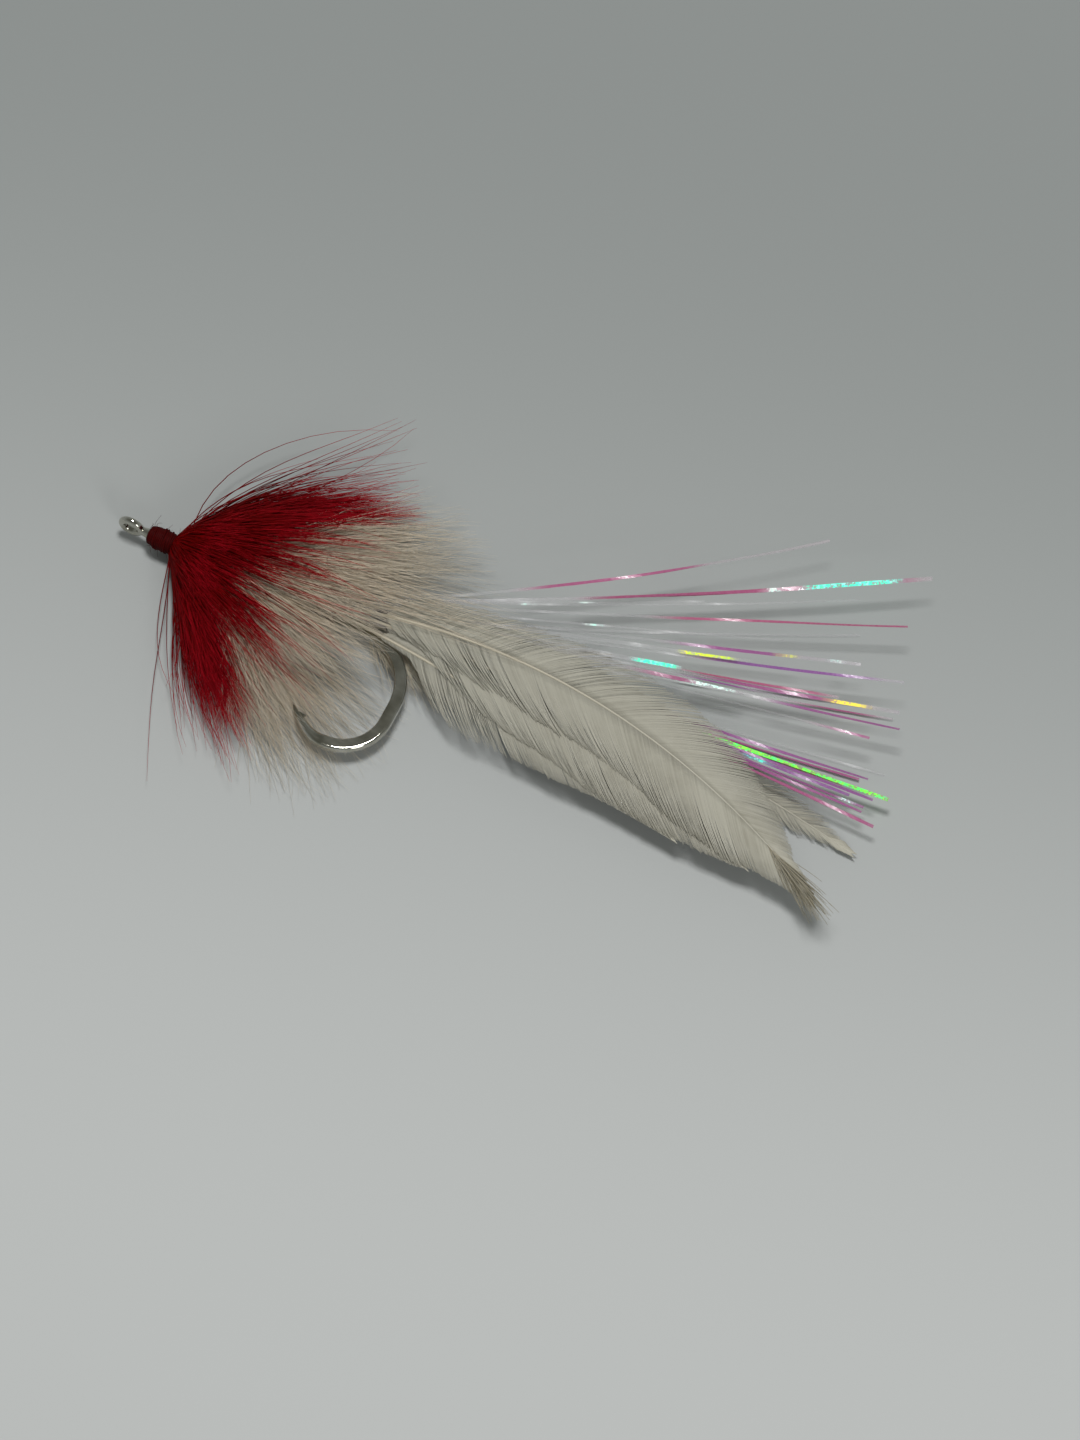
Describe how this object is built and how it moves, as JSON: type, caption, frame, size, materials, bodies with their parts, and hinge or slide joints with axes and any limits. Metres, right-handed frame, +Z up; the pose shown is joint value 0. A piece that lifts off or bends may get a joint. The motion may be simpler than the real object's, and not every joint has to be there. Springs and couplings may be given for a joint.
{
  "type": "streamer fly hook",
  "caption": "Saltwater streamer fly on a single hook: red and white fibre collars, long cream hackle tail and iridescent flash strands.",
  "frame": {"origin": "centre of the hook's eye", "axes": "+X along the shank towards the tail, +Y towards the fly's back and along the hole of the eye, +Z up from the surface that the fly lies on"},
  "size_m": [0.1126, 0.0683, 0.0132],
  "materials": {
    "hook_wire": "bright tinned wire, polished and lightly streaked",
    "thread": "dark red waxed tying thread in close wraps",
    "red_fibre": "dyed red soft feather fibres with a silky sheen",
    "white_fibre": "cream soft feather fibres",
    "hackle": "cream saddle hackle, brown at the tips",
    "flash": "pearlescent film that shifts from pink to green"
  },
  "bodies": {
    "dressed_hook": {"hook": "hook_wire", "thread_base": "thread", "thread_head": "thread", "red_collar_wraps": "thread", "white_collar_wraps": "thread", "tail_wraps": "thread", "red_back_tuft": "red_fibre", "red_near_back_tuft": "red_fibre", "red_near_belly_tuft": "red_fibre", "red_belly_tuft": "red_fibre", "red_far_belly_tuft": "red_fibre", "red_far_back_tuft": "red_fibre", "white_back_tuft": "white_fibre", "white_near_back_tuft": "white_fibre", "white_near_belly_tuft": "white_fibre", "white_belly_tuft": "white_fibre", "white_far_belly_tuft": "white_fibre", "white_far_back_tuft": "white_fibre"},
    "near_tail": {"near_inner_hackle": "hackle", "near_middle_hackle": "hackle", "near_outer_hackle": "hackle", "near_flash": "flash", "near_outer_flash": "flash"},
    "far_tail": {"far_inner_hackle": "hackle", "far_middle_hackle": "hackle", "far_outer_hackle": "hackle", "inner_flash": "flash", "far_flash": "flash"}
  },
  "joints": [
    {"name": "near_tail_flare", "type": "hinge", "parent": "dressed_hook", "child": "near_tail", "pos_m": [0.031, 0, 0.0008], "axis": [0, -1, 0], "range_deg": [0, 15], "stiffness_Nm_per_rad": 0.004, "springref_deg": -2.86},
    {"name": "far_tail_flare", "type": "hinge", "parent": "dressed_hook", "child": "far_tail", "pos_m": [0.031, 0, -0.0008], "axis": [0, 1, 0], "range_deg": [0, 15], "stiffness_Nm_per_rad": 0.004, "springref_deg": -2.86}
  ]
}
